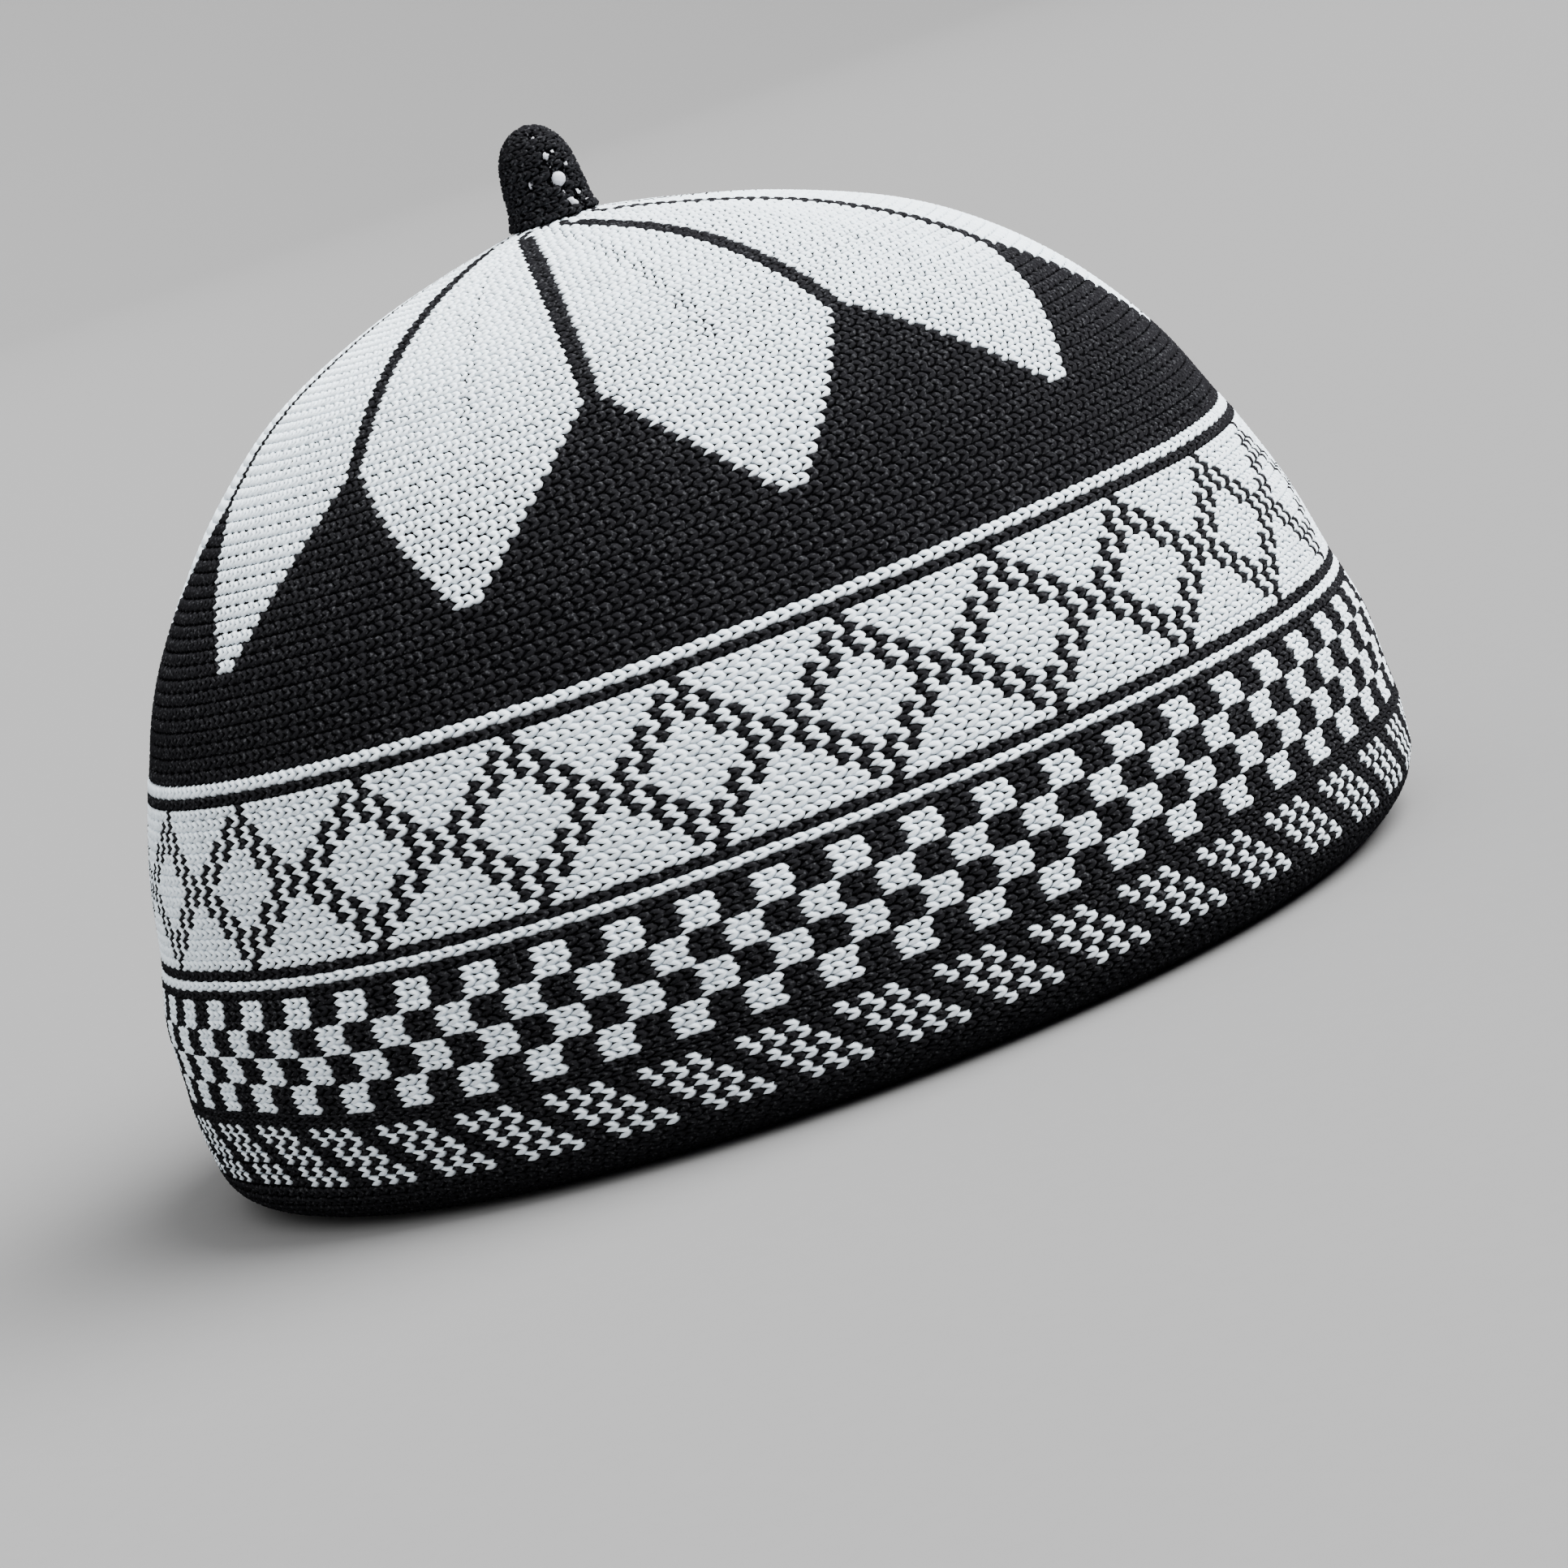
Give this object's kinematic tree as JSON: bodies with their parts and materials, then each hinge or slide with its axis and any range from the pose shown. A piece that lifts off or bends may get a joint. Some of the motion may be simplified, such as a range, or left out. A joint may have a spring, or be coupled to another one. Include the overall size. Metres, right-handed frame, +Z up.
{
  "type": "kufi",
  "caption": "Knitted dome cap in black and white colourwork, with a curled hem, a petal crown and a small stem on top.",
  "frame": {"origin": "middle of the flat ring of the curled hem, which the cap rests on", "axes": "+Z up through the crown and the stem, -Y to the wearer's front, +Y to the back along the long way of the oval, +X to the wearer's left"},
  "size_m": [0.1778, 0.1922, 0.1365],
  "materials": {
    "white_yarn": "matte knitted cotton",
    "black_yarn": "matte knitted cotton",
    "stem_filling_white": "soft white filling"
  },
  "bodies": {
    "root": {"cap_wall": "white_yarn", "stem_cover": "black_yarn", "stem_filling": "stem_filling_white"}
  },
  "joints": []
}
